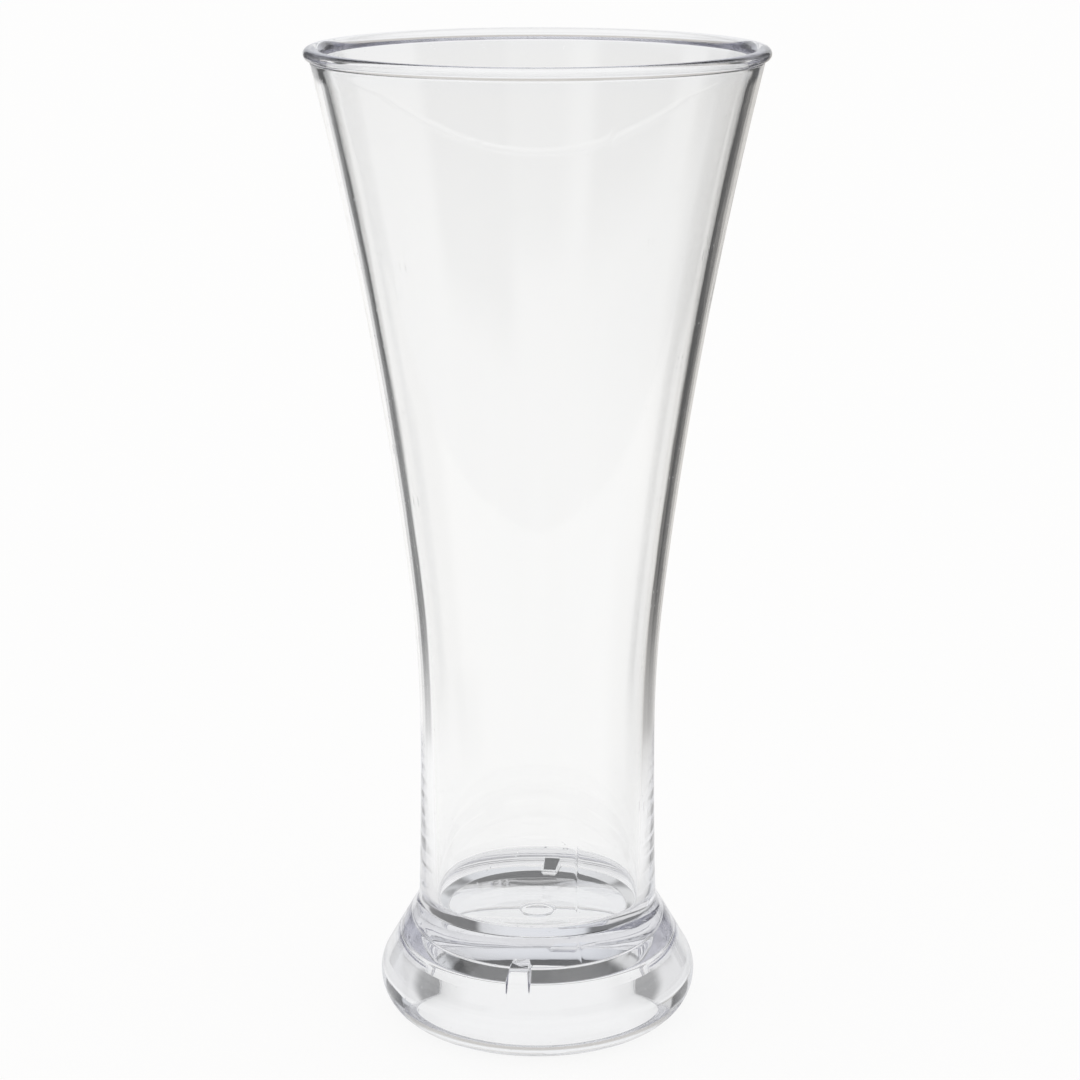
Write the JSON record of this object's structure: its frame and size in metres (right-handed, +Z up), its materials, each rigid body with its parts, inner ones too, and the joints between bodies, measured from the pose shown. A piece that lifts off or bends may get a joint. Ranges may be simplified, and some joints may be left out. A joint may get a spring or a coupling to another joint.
{
  "type": "pilsner glass",
  "caption": "Tall flared pilsner glass in clear moulded plastic, with a beaded rim, a pinched waist and a thick foot hollowed out underneath.",
  "frame": {"origin": "centre of the contact ring, on the surface that the glass stands on", "axes": "+Z up along the glass's own axis, from the foot to the rim; -Y faces the viewer of the picture"},
  "size_m": [0.0878, 0.0876, 0.193],
  "materials": {
    "clear_plastic": "clear and polished, moulded"
  },
  "bodies": {
    "root": {"glass_body": "clear_plastic"}
  },
  "joints": []
}
